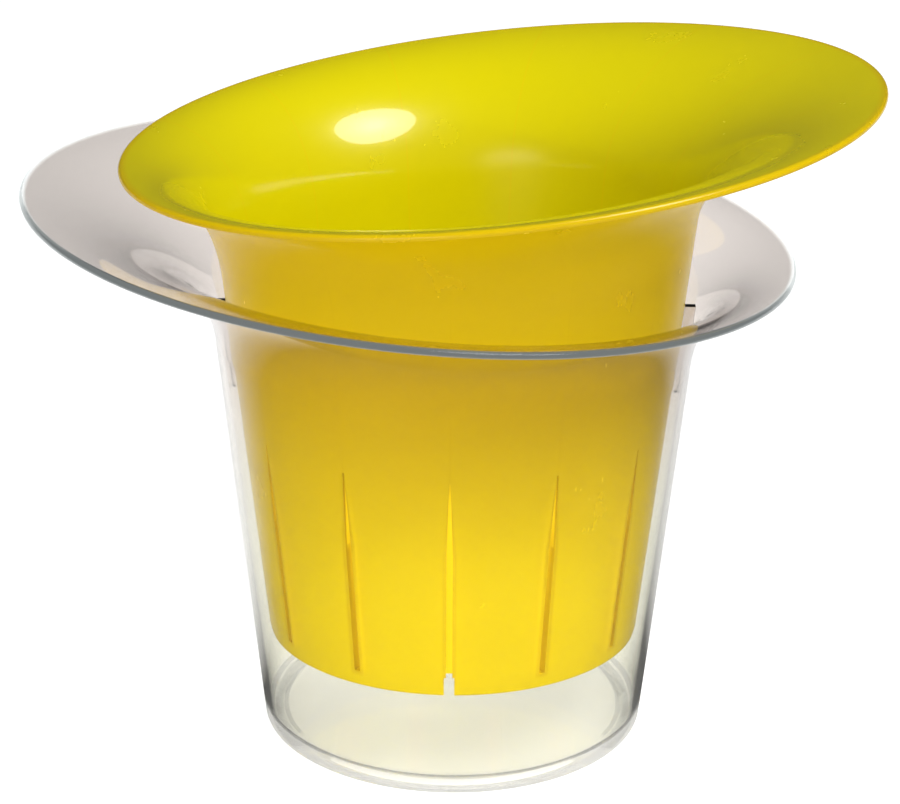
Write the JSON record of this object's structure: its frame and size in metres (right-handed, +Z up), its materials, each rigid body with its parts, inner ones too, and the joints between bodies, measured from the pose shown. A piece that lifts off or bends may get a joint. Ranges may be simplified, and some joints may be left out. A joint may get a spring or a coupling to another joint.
{
  "type": "wasp trap",
  "caption": "Free-standing wasp trap: a clear tapered bait cup with a wide tilted brim, and a yellow brimmed entry funnel that lifts out of it.",
  "frame": {"origin": "centre of the cup's foot ring, on the surface the trap stands on", "axes": "+Z up along the cup's axis; +X towards the funnel brim's high side and away from the cup brim's high side; the part is the same on both sides of the XZ plane"},
  "size_m": [0.182, 0.166, 0.1477],
  "materials": {
    "clear_plastic": "clear glossy moulded plastic",
    "yellow_plastic": "glossy translucent moulded plastic"
  },
  "bodies": {
    "cup": {"clear_cup": "clear_plastic"},
    "funnel": {"yellow_funnel": "yellow_plastic"}
  },
  "joints": [
    {"name": "funnel_lift", "type": "slide", "parent": "cup", "child": "funnel", "axis": [0, 0, 1], "range_m": [0, 0.13]}
  ]
}
